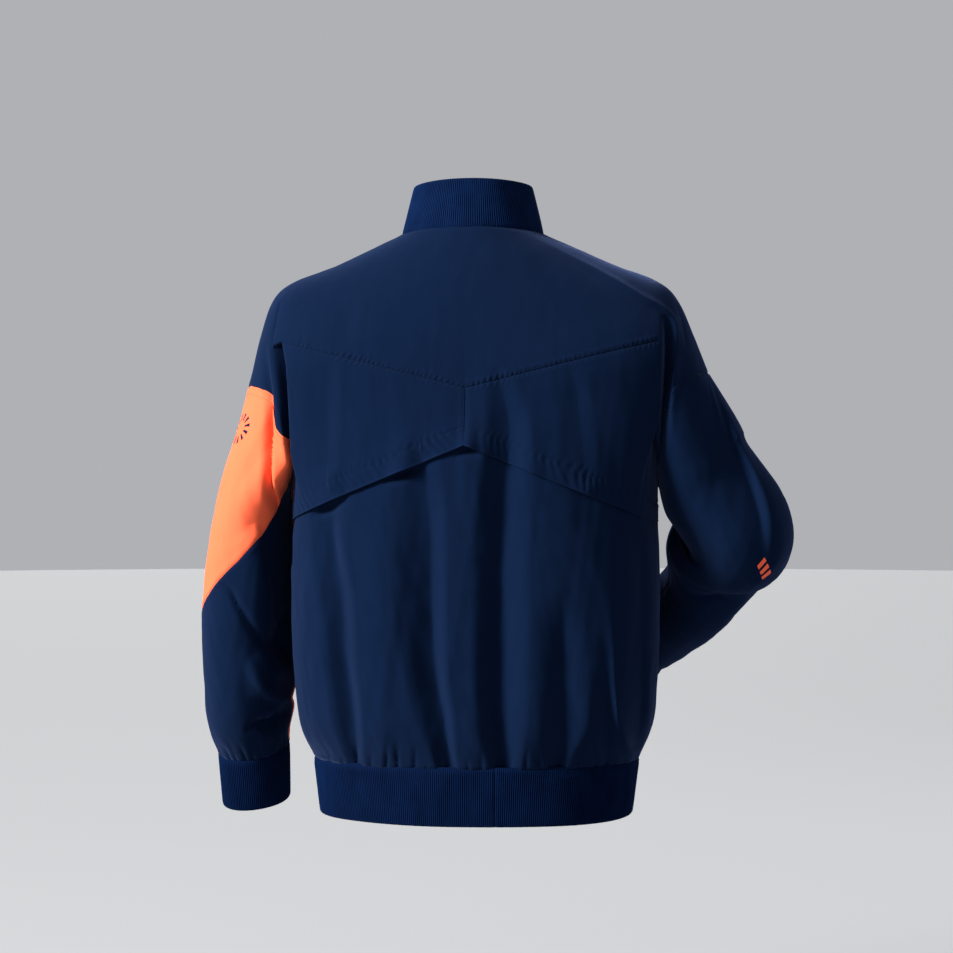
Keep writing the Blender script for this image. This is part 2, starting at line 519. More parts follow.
def cuff_grid(side, places, parts):
    """A cuff from its seam at part 0 to its open end at part 1."""
    across, back = SLEEVE_DATA[side][2:4]
    x, y, z, half_width, half_depth = CUFF_ENDS[side]
    turn = np.pi * (1 - places / (ROUND / 2))[..., None]
    top = sleeve(side, places, np.full(places.shape, LAST_STATION))
    end = (np.array([x, y, z]) + half_width * np.cos(turn) * across[-1]
           + half_depth * np.sin(turn) * back[-1])
    return top + (end - top) * parts[..., None]


# ------------------------------------------------------------------------ creases
def smooth_path(rows, steps=7):
    rows = np.array(rows, float)
    where = np.linspace(0, len(rows) - 1, steps * (len(rows) - 1) + 1)
    path = even_spline(rows, where)
    path[:, 2:4] = np.maximum(path[:, 2:4], 1.0)
    return path


def crease_depth(across, height, table):
    """How far each point is pushed out, in mm, from where it is in mm."""
    total = np.zeros(across.shape)
    for name, sharp, rows in table:
        path = smooth_path(rows)
        reach = path[:, 2:4].max()
        low = path[:, :2].min(axis=0) - reach
        high = path[:, :2].max(axis=0) + reach
        near = (across > low[0]) & (across < high[0]) & (height > low[1]) & (height < high[1])
        if not near.any():
            continue
        a = across[near]
        h = height[near]
        best = np.full(a.shape, 1e9)
        side = np.ones(a.shape)
        values = np.zeros(a.shape + (3,))
        for start, end in zip(path[:-1], path[1:]):
            run = end[:2] - start[:2]
            part = np.clip(((a - start[0]) * run[0] + (h - start[1]) * run[1]) / max(run @ run, 1e-9), 0, 1)
            off_a = a - start[0] - part * run[0]
            off_h = h - start[1] - part * run[1]
            apart = np.hypot(off_a, off_h)
            closer = apart < best
            best = np.where(closer, apart, best)
            side = np.where(closer, run[0] * off_h - run[1] * off_a, side)
            here = start[2:] + part[:, None] * (end[2:] - start[2:])
            values = np.where(closer[:, None], here, values)
        share = np.clip(best / np.where(side > 0, values[:, 0], values[:, 1]), 0, 1)
        soft = (1 - share) ** 2 * (1 + 2 * share)
        total[near] += values[:, 2] * (sharp * (1 - share) ** 2 + (1 - sharp) * soft)
    return total


# how far past the middle plane a face's creases reach, and over what width they fade in
FACE_PAST = 0.012
FACE_FADE = 0.05
EXTRA_PAST = 0.030
EXTRA_FADE = 0.02
SIDE_FADE = 0.03


def fold_cloth(points, mid_x, mid_y, outer, extra_back=()):
    """Pushes the hand-placed creases into a grid. outer is how far a point takes the side ones."""
    x, y, z = (points[..., k] / MM for k in range(3))
    behind = points[..., 1] - mid_y
    aside = points[..., 0] - mid_x
    on_left = outer * (points[..., 0] > 0)
    on_right = outer * (points[..., 0] < 0)
    pushes = (
        (1, 1, x, BACK_CREASES, ease((behind + FACE_PAST) / FACE_FADE)),
        (1, 1, x, extra_back, ease((behind + EXTRA_PAST) / EXTRA_FADE)),
        (1, -1, x, FRONT_CREASES, ease((FACE_PAST - behind) / FACE_FADE)),
        (0, 1, y, LEFT_CREASES, ease(aside / SIDE_FADE) * on_left),
        (0, -1, y, RIGHT_CREASES, ease(-aside / SIDE_FADE) * on_right),
        (0, -1, y, LEFT_INNER_CREASES, ease(-aside / SIDE_FADE) * on_left),
    )
    moved = points.copy()
    for axis, way, across, table, share in pushes:
        moved[..., axis] += way * crease_depth(across, z, table) * share * MM
    return moved


# waves of the slack cloth: along x, y, z in turns a metre, phase, height in mm
SLACK_WAVES = (
    (19.0, 7.0, 2.6, 0.4, 0.22), (31.0, -12.0, 4.1, 1.9, 0.17), (12.5, 15.0, -6.3, 3.1, 0.24),
    (47.0, 23.0, 7.7, 5.2, 0.11), (-26.0, 34.0, 11.0, 2.2, 0.12), (61.0, -38.0, -9.0, 0.9, 0.07),
    (9.0, -6.0, 21.0, 4.4, 0.13), (-37.0, 9.0, 17.0, 1.2, 0.09),
)


def slack(points):
    """Low uneven waves, longer down the cloth than across it, in mm."""
    total = np.zeros(points.shape[:-1])
    for turn_x, turn_y, turn_z, phase, high in SLACK_WAVES:
        angle = 2 * np.pi * (turn_x * points[..., 0] + turn_y * points[..., 1] + turn_z * points[..., 2])
        total += high * np.sin(angle + phase + 1.3 * np.sin(0.31 * angle + phase))
    return total


# -------------------------------------------------------------------------- seams
SEAM_STEP = 0.0006


def seam_line(points):
    """A finely sampled seam: a search tree and the length run at each sample."""
    points = np.asarray(points, float)
    run = run_along(points)
    count = int(run[-1] / SEAM_STEP) + 2
    at = np.linspace(0.0, run[-1], count)
    tree = KDTree(count)
    for number, point in enumerate(sampled(at, run, points)):
        tree.insert(point, number)
    tree.balance()
    return tree, at


def from_seam(points, line):
    """Distance of each point from a seam and the length run along it, in mm."""
    tree, at = line
    found = [tree.find(point)[1:] for point in points.reshape(-1, 3).tolist()]
    number = np.array([item[0] for item in found])
    apart = np.array([item[1] for item in found])
    return apart.reshape(points.shape[:-1]) / MM, at[number].reshape(points.shape[:-1]) / MM


def groove(apart, deep=0.9, wide=1.6):
    """A turned seam: a narrow furrow with a slight swell beside it, in mm."""
    return -deep * np.exp(-(apart / wide) ** 2) + 0.22 * deep * bump((apart - 5.0) / 4.0)


def puckers(apart, run, high, tall, wave, slant):
    """Short uneven wrinkles that run off a stitched seam, in mm."""
    phase = 2 * np.pi * (run + slant * apart) / wave
    phase = phase + 2.2 * np.sin(run / 23.0) + 1.4 * np.sin(run / 9.1 + 1.0)
    level = 0.75 + 0.25 * np.sin(run / 31.0 + 2.0)
    window = ease(apart / 1.5) * ease((tall * (0.85 + 0.25 * np.sin(run / 13.0)) - apart) / (0.6 * tall))
    return high * np.cos(phase) * level * window


def gathers(apart, across, table, first=0.0):
    """Short folds that run up from a gathered seam, in mm."""
    total = np.zeros(apart.shape)
    for middle, half, deep, tall in table:
        sway = across + 0.10 * apart * math.sin(middle * 0.37)
        share = np.clip(np.abs(sway - middle) / (half * (1 + 0.5 * apart / tall)), 0, 1)
        hump = (1 - share) ** 2 * (1 + 1.2 * share)
        total -= deep * hump * ease((apart - first) / 2.5) * (1 - ease(apart / tall)) ** 0.8
    return total


def seeded_gathers(seed, low, high, low_step, high_step):
    """More gathers of the same uneven kind for sides that the photo doesn't show."""
    draw = np.random.default_rng(seed)
    rows = []
    middle = low
    while middle < high:
        rows.append((middle, draw.uniform(2.8, 4.8), draw.uniform(1.0, 2.4), draw.uniform(12, 44)))
        middle += draw.uniform(low_step, high_step)
    return tuple(rows)


# ---------------------------------------------------------------------- materials
def add_node(material, kind, settings=(), inputs=()):
    node = material.node_tree.nodes.new("ShaderNode" + kind)
    for key, value in settings:
        setattr(node, key, value)
    for key, value in inputs:
        node.inputs[key].default_value = value
    return node


def new_material(name, colour, rough, metallic=0.0, sheen=0.0, specular=0.5):
    material = bpy.data.materials.new(name)
    material.use_nodes = True
    shader = material.node_tree.nodes["Principled BSDF"]
    shader.inputs["Base Color"].default_value = (*colour, 1.0)
    shader.inputs["Roughness"].default_value = rough
    shader.inputs["Metallic"].default_value = metallic
    shader.inputs["Sheen Weight"].default_value = sheen
    shader.inputs["Sheen Roughness"].default_value = 0.4
    shader.inputs["Specular IOR Level"].default_value = specular
    return material, shader


def vary_colour(material, source, colour, low, high, stretch, scale):
    """Uneven dye: the colour between two strengths of itself, in streaks. Returns the socket."""
    link = material.node_tree.links.new
    mapping = add_node(material, "Mapping", inputs=(("Scale", stretch),))
    noise = add_node(material, "TexNoise", inputs=(("Scale", scale), ("Detail", 5.0)))
    ramp = add_node(material, "ValToRGB")
    ramp.color_ramp.elements[0].position = 0.3
    ramp.color_ramp.elements[0].color = (*[part * low for part in colour], 1.0)
    ramp.color_ramp.elements[1].position = 0.7
    ramp.color_ramp.elements[1].color = (*[min(part * high, 1.0) for part in colour], 1.0)
    link(source, mapping.inputs["Vector"])
    link(mapping.outputs["Vector"], noise.inputs["Vector"])
    link(noise.outputs["Fac"], ramp.inputs["Fac"])
    return ramp.outputs["Color"]


def texture(material, kind, source, inputs, settings=()):
    """Strength of a texture over a socket of coordinates."""
    node = add_node(material, kind, settings, inputs)
    material.node_tree.links.new(source, node.inputs["Vector"])
    return node.outputs["Fac"]


def bumped(material, height, strength, distance, before=None):
    node = add_node(material, "Bump", inputs=(("Strength", strength), ("Distance", distance)))
    material.node_tree.links.new(height, node.inputs["Height"])
    if before is not None:
        material.node_tree.links.new(before, node.inputs["Normal"])
    return node.outputs["Normal"]


# a wave texture's phase runs this many radians in a metre at a scale of 1
WAVE_RADIANS = 20.0
# spacings of threads and of knitted loops
WEAVE_PITCH = 0.00055
LOOP_PITCH = 0.0013


def threads(material, source, pitch):
    """Height of a plain weave of that pitch in metres."""
    link = material.node_tree.links.new
    scale = 2 * math.pi / (WAVE_RADIANS * pitch)
    both = add_node(material, "Math", (("operation", "MULTIPLY"),))
    for number, axis in enumerate(("X", "Y")):
        wave = texture(material, "TexWave", source, (("Scale", scale), ("Distortion", 0.0)),
                       (("bands_direction", axis),))
        link(wave, both.inputs[number])
    return both.outputs["Value"]


SHELL_SHEEN = 0.12
NAVY_EDGE = (0.32, 0.44, 0.95)
CORAL_EDGE = (1.0, 0.60, 0.45)


def taffeta(name, colour, rough, edge, printed=None):
    """Thin woven shell cloth; edge tints its grazing light, printed adds a print to its colour."""
    material, shader = new_material(name, colour, rough, sheen=SHELL_SHEEN, specular=0.0)
    shader.inputs["Sheen Tint"].default_value = (*edge, 1.0)
    link = material.node_tree.links.new
    place = add_node(material, "TexCoord")
    base = vary_colour(material, place.outputs["Object"], colour, 0.96, 1.04, (1.0, 1.0, 0.4), 42.0)
    if printed is not None:
        base = printed(material, place.outputs["UV"], base)
    link(base, shader.inputs["Base Color"])
    crinkle = texture(material, "TexNoise", place.outputs["Object"],
                      (("Scale", 75.0), ("Detail", 4.0), ("Roughness", 0.55)))
    first = bumped(material, crinkle, 0.20, 0.0016)
    weave = bumped(material, threads(material, place.outputs["UV"], WEAVE_PITCH), 0.35, 0.00012, first)
    link(weave, shader.inputs["Normal"])
    return material


def knit(name, colour, rough):
    """Rib knit: loops up each rib and darker valleys."""
    material, shader = new_material(name, colour, rough, specular=0.02)
    link = material.node_tree.links.new
    place = add_node(material, "TexCoord")
    base = vary_colour(material, place.outputs["Object"], colour, 0.82, 1.2, (1.0, 1.0, 0.5), 60.0)
    valley = add_node(material, "Attribute", (("attribute_name", "valley"),))
    mix = add_node(material, "Mix", (("data_type", "RGBA"), ("blend_type", "MULTIPLY")))
    link(valley.outputs["Fac"], mix.inputs["Factor"])
    link(base, mix.inputs["A"])
    mix.inputs["B"].default_value = (0.22, 0.22, 0.26, 1.0)
    link(mix.outputs["Result"], shader.inputs["Base Color"])
    loops = texture(material, "TexWave", place.outputs["UV"],
                    (("Scale", 2 * math.pi / (WAVE_RADIANS * LOOP_PITCH)), ("Distortion", 1.2),
                     ("Detail", 1.0), ("Detail Scale", 1.0)), (("bands_direction", "Y"),))
    fuzz = texture(material, "TexNoise", place.outputs["Object"], (("Scale", 900.0), ("Detail", 3.0)))
    first = bumped(material, loops, 0.5, 0.0004)
    link(bumped(material, fuzz, 0.4, 0.0003, first), shader.inputs["Normal"])
    return material


def grained(name, colour, rough, metallic, scale, strength, distance, specular=0.5):
    """Thread, moulded plastic or paint with a fine grain."""
    material, shader = new_material(name, colour, rough, metallic, specular=specular)
    link = material.node_tree.links.new
    place = add_node(material, "TexCoord")
    base = vary_colour(material, place.outputs["Object"], colour, 0.8, 1.25, (1.0, 1.0, 1.0), scale / 6)
    link(base, shader.inputs["Base Color"])
    grain = texture(material, "TexNoise", place.outputs["Object"], (("Scale", scale), ("Detail", 4.0)))
    link(bumped(material, grain, strength, distance), shader.inputs["Normal"])
    return material


def calc(material, kind, first, second=None, third=None):
    """One step of arithmetic on sockets or numbers; returns its socket."""
    node = add_node(material, "Math", (("operation", kind),))
    for number, value in enumerate((first, second, third)):
        if value is None:
            continue
        if isinstance(value, (int, float)):
            node.inputs[number].default_value = value
        else:
            material.node_tree.links.new(value, node.inputs[number])
    return node.outputs["Value"]


def painted(material, base, mask, colour):
    mix = add_node(material, "Mix", (("data_type", "RGBA"),))
    mix.inputs["B"].default_value = (*colour, 1.0)
    material.node_tree.links.new(mask, mix.inputs["Factor"])
    material.node_tree.links.new(base, mix.inputs["A"])
    return mix.outputs["Result"]


def centred(material, source, middle, turn):
    """Sockets of u and v about a middle, turned by an angle."""
    mapping = add_node(material, "Mapping", (("vector_type", "TEXTURE"),),
                       (("Location", (middle[0], middle[1], 0.0)), ("Rotation", (0.0, 0.0, turn))))
    material.node_tree.links.new(source, mapping.inputs["Vector"])
    parts = add_node(material, "SeparateXYZ")
    material.node_tree.links.new(mapping.outputs["Vector"], parts.inputs["Vector"])
    return parts.outputs["X"], parts.outputs["Y"]


NAVY = (0.0028, 0.0080, 0.0258)
CORAL = (0.85, 0.125, 0.055)
KNIT_NAVY = (0.0014, 0.0082, 0.0370)
KNIT_COLLAR = (0.0024, 0.0122, 0.0520)


# ------------------------------------------------------------------------- meshes
def mesh_object(name, verts, quads, material, body=GARMENT, uvs=None, sharp=50.0):
    mesh = bpy.data.meshes.new(name)
    mesh.vertices.add(len(verts))
    mesh.vertices.foreach_set("co", np.ascontiguousarray(verts, dtype=np.float32).ravel())
    mesh.loops.add(quads.size)
    mesh.loops.foreach_set("vertex_index", np.ascontiguousarray(quads, dtype=np.int32).ravel())
    mesh.polygons.add(len(quads))
    mesh.polygons.foreach_set("loop_start", np.arange(0, quads.size, 4, dtype=np.int32))
    mesh.update(calc_edges=True)
    mesh.validate()
    if uvs is not None:
        layer = mesh.uv_layers.new(name="cloth")
        layer.data.foreach_set("uv", np.ascontiguousarray(uvs[quads.ravel()], dtype=np.float32).ravel())
    mesh.polygons.foreach_set("use_smooth", np.ones(len(quads), dtype=bool))
    mesh.set_sharp_from_angle(angle=math.radians(sharp))
    mesh.materials.append(material)
    piece = bpy.data.objects.new(name, mesh)
    bpy.context.scene.collection.objects.link(piece)
    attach(piece, body)
    return piece


def grid_cells(ids, keep=None, wrap=False):
    """Four-sided cells of a grid of point numbers, outward side up where columns then rows run."""
    after = np.roll(ids, -1, axis=1)
    cells = np.stack([ids[:-1], after[:-1], after[1:], ids[1:]], axis=-1)
    if not wrap:
        cells = cells[:, :-1]
    if keep is not None:
        return cells[keep]
    return cells.reshape(-1, 4)


def vertex_outs(points, cells):
    """Outward direction at each point from the cells round it."""
    corner = points[cells]
    normal = np.cross(corner[:, 2] - corner[:, 0], corner[:, 3] - corner[:, 1])
    total = np.zeros_like(points)
    for k in range(4):
        np.add.at(total, cells[:, k], normal)
    return unit(total)


def close_shell(points, cells, outs, outer, inner):
    """A thin closed shell round a sheet: vertices and cells."""
    verts = np.vstack([points + outs * outer, points - outs * inner])
    size = len(points)
    start = cells.ravel()
    end = np.roll(cells, -1, axis=1).ravel()
    key = np.minimum(start, end) * size + np.maximum(start, end)
    _, back, count = np.unique(key, return_inverse=True, return_counts=True)
    rim = count[back.ravel()] == 1
    a = start[rim]
    b = end[rim]
    walls = np.stack([b, a, a + size, b + size], axis=-1)
    return verts, np.vstack([cells, cells[:, ::-1] + size, walls])


OUTER = 0.0006
INNER = 0.0004


def cloth_piece(name, points, cells, uvs, material, outer=OUTER, inner=INNER):
    """A thin closed shell on a sheet of cells, standing for the solid of that name."""
    flat = points.reshape(-1, 3)
    used, local = np.unique(cells, return_inverse=True)
    cells = local.reshape(cells.shape)
    sheet = flat[used]
    outs = vertex_outs(sheet, cells)
    verts, faces = close_shell(sheet, cells, outs, outer, inner)
    coords = uvs.reshape(-1, 2)[used]
    piece = mesh_object(name + "_cloth", verts, faces, material, uvs=np.vstack([coords, coords]))
    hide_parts(name)
    return piece


def lengths(points, axis):
    """Length run along rows (axis 1) or columns (axis 0) of a grid, from its start."""
    step = np.linalg.norm(np.diff(points, axis=axis), axis=-1)
    run = np.cumsum(step, axis=axis)
    first = np.zeros_like(run[:1]) if axis == 0 else np.zeros_like(run[:, :1])
    return np.concatenate([first, run], axis=axis)


def grid_uvs(points):
    return np.stack([lengths(points, 1), lengths(points, 0)], axis=-1)


def with_outs(points, outs):
    return np.concatenate([points, outs], axis=-1)


def beside(both, distance):
    """The line at a distance down each column of a grid from its first row, and its outward side."""
    points = both[..., :3]
    run = lengths(points, 0)
    outs = unit(np.cross(np.gradient(points, axis=1), np.gradient(points, axis=0)))
    outs = outs * np.sign((outs * both[..., 3:]).sum(axis=-1, keepdims=True))
    line = []
    for col in range(points.shape[1]):
        line.append([np.interp(distance, run[:, col], values[:, col, k])
                     for values in (points, outs) for k in range(3)])
    line = np.array(line)
    return line[:, :3], unit(line[:, 3:])


STITCH_PITCH = 0.0028
STITCH_LONG = 0.0021
STITCH_THICK = 0.00050
# rings of one stitch: share of its half length, half width, height over the cloth
STITCH_RINGS = ((-1.0, 0.35, -0.25), (0.0, 1.0, 0.55), (1.0, 0.35, -0.25))


def stitches(name, lines, material):
    """Rows of single stitches lying on the cloth along lines of (points, outward side)."""
    verts = []
    for points, outs in lines:
        run = run_along(points)
        count = int(run[-1] / STITCH_PITCH) - 1
        middle = (np.arange(count) + 1.0) * STITCH_PITCH
        out = unit(sampled(middle, run, outs))
        along = unit(sampled(middle + STITCH_LONG / 2, run, points)
                     - sampled(middle - STITCH_LONG / 2, run, points))
        side = np.cross(out, along)
        for share, width, high in STITCH_RINGS:
            centre = sampled(middle, run, points) + along * share * STITCH_LONG / 2
            base = centre + out * (OUTER + STITCH_THICK * high * 0.3)
            half = STITCH_THICK * width / 2
            ring = [base - side * half, base + out * half * 1.4, base + side * half, base - out * half]
            verts.append(np.stack(ring, axis=1))
    blocks = np.concatenate([np.stack(verts[start:start + 3], axis=1).reshape(-1, 12, 3)
                             for start in range(0, len(verts), 3)])
    template = []
    for ring in (0, 4):
        for k in range(4):
            after = (k + 1) % 4
            template.append((ring + k, ring + 4 + k, ring + 4 + after, ring + after))
    template.append((0, 1, 2, 3))
    template.append((11, 10, 9, 8))
    faces = (np.arange(len(blocks))[:, None, None] * 12 + np.array(template)[None]).reshape(-1, 4)
    piece = mesh_object(name, blocks.reshape(-1, 3), faces, material)
    return piece


# ---------------------------------------------------------------- seams of the body
ROUND_BODY = np.linspace(-ZIP_COLUMN, ZIP_COLUMN, 1601)
ROUND_BACK = np.linspace(-BACK_COLUMNS, BACK_COLUMNS, 901)
ROUND_YOKE = np.linspace(-BACK_FOLD_COLUMN, BACK_FOLD_COLUMN, 701)
ROUND_SLEEVE = np.linspace(0.0, ROUND, 601)
# samples of a seam that runs down
DOWN = 241


def level_seam(columns, level, upper):
    return seam_line(torso(columns, [float(level)], upper)[0])


def column_seam(column, low, high, upper):
    return seam_line(torso(np.array([float(column)]), np.linspace(low, high, DOWN), upper)[:, 0])


neck_seam = level_seam(ROUND_BODY, 0, True)
yoke_seam = level_seam(ROUND_YOKE, YOKE_LEVEL, True)
flap_edge = level_seam(ROUND_BACK, FLAP_LEVEL, False)
waist_seam = level_seam(ROUND_BODY, LAST_LEVEL, False)
cape_seam = column_seam(0, YOKE_LEVEL, FLAP_LEVEL, True)
armhole_seam = {side: seam_line(armhole_loop(side, ROUND_SLEEVE)) for side in (1, -1)}
shoulder_seam = {side: column_seam(side * SIDE_COLUMN, 0, ARMHOLE_LEVEL, True) for side in (1, -1)}
side_seam = {side: column_seam(side * SIDE_COLUMN, ARMHOLE_LEVEL, LAST_LEVEL, False)
             for side in (1, -1)}
zip_edge = {side: column_seam(side * ZIP_COLUMN, 0, LAST_LEVEL, True) for side in (1, -1)}


def block_end(places):
    """Station where the colour block ends, by place round the sleeve."""
    return LAST_STATION * np.interp(places, BLOCK_COLUMNS, BLOCK_SHARE)


block_seam = seam_line(sleeve(1, ROUND_SLEEVE, block_end(ROUND_SLEEVE)))
under_seam = {side: seam_line(sleeve(side, np.zeros(DOWN), np.linspace(0, LAST_STATION, DOWN)))
              for side in (1, -1)}
cuff_seam = {side: seam_line(sleeve(side, ROUND_SLEEVE, np.full(ROUND_SLEEVE.shape, LAST_STATION)))
             for side in (1, -1)}

taffeta_navy = taffeta("navy_taffeta", NAVY, 0.5, NAVY_EDGE)
rib_navy = knit("navy_rib", KNIT_NAVY, 0.85)
rib_collar = knit("collar_rib", KNIT_COLLAR, 0.85)
THREAD = {"rough": 0.7, "metallic": 0.0, "scale": 2500.0, "strength": 0.5, "distance": 0.0002,
          "specular": 0.05}
thread_navy = grained("navy_thread", (0.006, 0.014, 0.040), **THREAD)
thread_coral = grained("coral_thread", (0.75, 0.09, 0.045), **THREAD)


def settle(base, outs, small, mid_x=0.0, mid_y=0.0, outer=0.0, extra=()):
    """The finished sheet: creases by hand, then seams, gathers and slack along the cloth's side."""
    return fold_cloth(base, mid_x, mid_y, outer, extra) + outs * (small * MM)[..., None]


# ---------------------------------------------------------------------- back yoke
# how far each row of stitches lies from its edge or seam
EDGE_STITCH = 0.0022
CENTRE_STITCH = 0.0020
ZIP_STITCH = 0.0070
HEAD_STITCH = 0.0030
SECOND_STITCH = 0.0092
thread_lines = []
columns = stretches(((-17, -12, 38, 0), (-12, -11, 14, 0), (-11, -10, 12, 0), (-10, 10, 300, 0),
                     (10, 11, 12, 0), (11, 12, 14, 0), (12, 17, 38, 0)))
places = stretches(((0, 1, 18, 2), (1, 2, 22, 0), (2, 3, 40, 2), (3, 4, 24, 1)))
base, outs = torso_grid(columns, places, [])
apart, run = from_seam(base, yoke_seam)
across = base[..., 0] / MM
right_side = ease((-across - 10.0) / 60.0)
small = 0.4 * slack(base) + groove(apart, deep=1.3 + 0.3 * right_side, wide=1.3)
small += puckers(apart, run, high=0.70 * (1 - 0.4 * right_side), tall=7.5, wave=5.8, slant=0.40)
small += puckers(apart, run + 3.0, high=0.20, tall=17.0, wave=12.1, slant=-0.35)
small += groove(from_seam(base, neck_seam)[0], deep=0.9)
for side in (1, -1):
    small += groove(from_seam(base, armhole_seam[side])[0], deep=0.8)
    small += groove(from_seam(base, shoulder_seam[side])[0], deep=0.7)
finished = settle(base, outs, small)
ids = numbered(finished)
keep = (places[:-1, None] < YOKE_LEVEL) | (np.abs(columns[:-1] + columns[1:])[None] / 2 > BACK_FOLD_COLUMN)
piece = cloth_piece("back_yoke", finished, grid_cells(ids, keep), grid_uvs(base), taffeta_navy)
seam_row = int(np.argmin(np.abs(places - YOKE_LEVEL)))
middle_columns = np.abs(columns) <= BACK_FOLD_COLUMN
both = with_outs(finished, outs)
thread_lines.append(beside(both[seam_row::-1][:, middle_columns], EDGE_STITCH))
thread_lines.append(beside(both[:, columns >= 16.0].transpose(1, 0, 2)[::-1], EDGE_STITCH))
thread_lines.append(beside(both[:, columns <= -16.0].transpose(1, 0, 2), EDGE_STITCH))


# -------------------------------------------------------------- flap of two halves
FLAP_GAP = 0.0036
FLAP_GAP_SHIFT = 0.0004
FLAP_CLOSED_COLUMN = 13.5
FLAP_FADE_COLUMNS = 3.5
UNDER_GAP = 0.0022


def flap_lift(columns, places):
    """How far the flap stands off the back, in metres."""
    edge = FLAP_GAP + FLAP_GAP_SHIFT * np.clip(columns, -1, 1)
    fade = np.clip((FLAP_CLOSED_COLUMN - np.abs(columns)) / FLAP_FADE_COLUMNS, 0, 1)
    share = np.interp(places, (YOKE_LEVEL, ARMHOLE_LEVEL, FLAP_LEVEL), (0.0, 0.25, 1.0)) ** 1.3
    return share[:, None] * (edge * fade)[None]


def flap_swing(across, places):
    """Uneven lift of the free edge between its pockets, in mm."""
    total = np.zeros(across.shape)
    for middle, half, high in FLAP_LIFTS:
        total += high * bump((across - middle) / half)
    share = np.clip((places - YOKE_LEVEL) / (FLAP_LEVEL - YOKE_LEVEL), 0, 1)
    return total * share[:, None] ** 3


HEM_TALL = 20.0
upper_places = stretches(((3, 4, 26, 1),))[:-1]
lower_places = stretches(((4, 5, 40, 1),))
for side, name in ((1, "back_cape_left"), (-1, "back_cape_right")):
    columns = stretches(((0, 10, 130, 0), (10, 11, 14, 0), (11, 12, 14, 0), (12, 17, 38, 0)))
    if side < 0:
        columns = -columns[::-1]
    places = np.concatenate([upper_places, lower_places])
    base, outs = torso_grid(columns, upper_places, lower_places)
    across = base[..., 0] / MM
    edge, along = from_seam(base, flap_edge)
    seam, run = from_seam(base, yoke_seam)
    centre = from_seam(base, cape_seam)[0]
    hem = bump((edge - HEM_TALL) / 2.2)
    small = 0.6 * slack(base) + groove(seam, deep=0.8)
    small += puckers(seam, run, high=0.40, tall=7.0, wave=6.3, slant=-0.5)
    small += (groove(centre, deep=0.9, wide=1.3)
              + puckers(centre, run, high=0.2, tall=6.0, wave=6.1, slant=0.2))
    small += (puckers(np.abs(edge - HEM_TALL), along, high=0.45, tall=8.0, wave=8.7, slant=0.5)
              - 0.6 * hem)
    band = np.maximum(HEM_TALL - edge, 0.0)
    band_high = 0.90 if side > 0 else 0.40
    small += puckers(band, along, high=band_high, tall=24.0, wave=10.3, slant=0.6) * ease(edge / 4.0)
    small += 0.5 * ease((2.5 - edge) / 2.5)
    small += groove(from_seam(base, armhole_seam[side])[0], deep=0.8)
    small += groove(from_seam(base, side_seam[side])[0], deep=0.6)
    small += flap_lift(columns, places) / MM
    finished = settle(base, outs, small)
    finished[..., 1] += flap_swing(across, places) * MM
    ids = numbered(finished)
    keep = ((places[:-1, None] >= ARMHOLE_LEVEL)
            | (np.abs(columns[:-1] + columns[1:])[None] / 2 < BACK_FOLD_COLUMN))
    piece = cloth_piece(name, finished, grid_cells(ids, keep), grid_uvs(base), taffeta_navy)
    middle_columns = np.abs(columns) <= BACK_FOLD_COLUMN
    both = with_outs(finished, outs)
    thread_lines.append(beside(both[::-1], HEM_TALL * MM))
    thread_lines.append(beside(both[:, middle_columns], EDGE_STITCH))
    swung = both.transpose(1, 0, 2)
    thread_lines.append(beside(swung if side > 0 else swung[::-1], CENTRE_STITCH))

# ---------------------------------------------------------------------- back body
columns = stretches(((-17, -12, 32, 0), (-12, -10, 18, 0), (-10, 0, 78, 0), (0, 10, 78, 0),
                     (10, 12, 18, 0), (12, 17, 32, 0)))
places = stretches(((4.4, 5, 9, 0), (5, 6, 42, 0), (6, 7, 36, 0), (7, 8, 28, 0), (8, 9, 26, 2)))
base, outs = torso_grid(columns, [], places)
across = base[..., 0] / MM
waist = from_seam(base, waist_seam)[0]
small = slack(base) + groove(waist, deep=1.1, wide=2.0) + gathers(waist, across, BACK_GATHERS)
for side in (1, -1):
    small += groove(from_seam(base, side_seam[side])[0], deep=0.7)
lift = flap_lift(columns, np.minimum(places, FLAP_LEVEL))
under = np.minimum(0.0, lift - UNDER_GAP) * (1 - ease((places - FLAP_LEVEL) / 0.25))[:, None]
finished = settle(base, outs, small + under / MM, extra=POCKETS)
ids = numbered(finished)
piece = cloth_piece("back_body", finished, grid_cells(ids), grid_uvs(base), taffeta_navy)

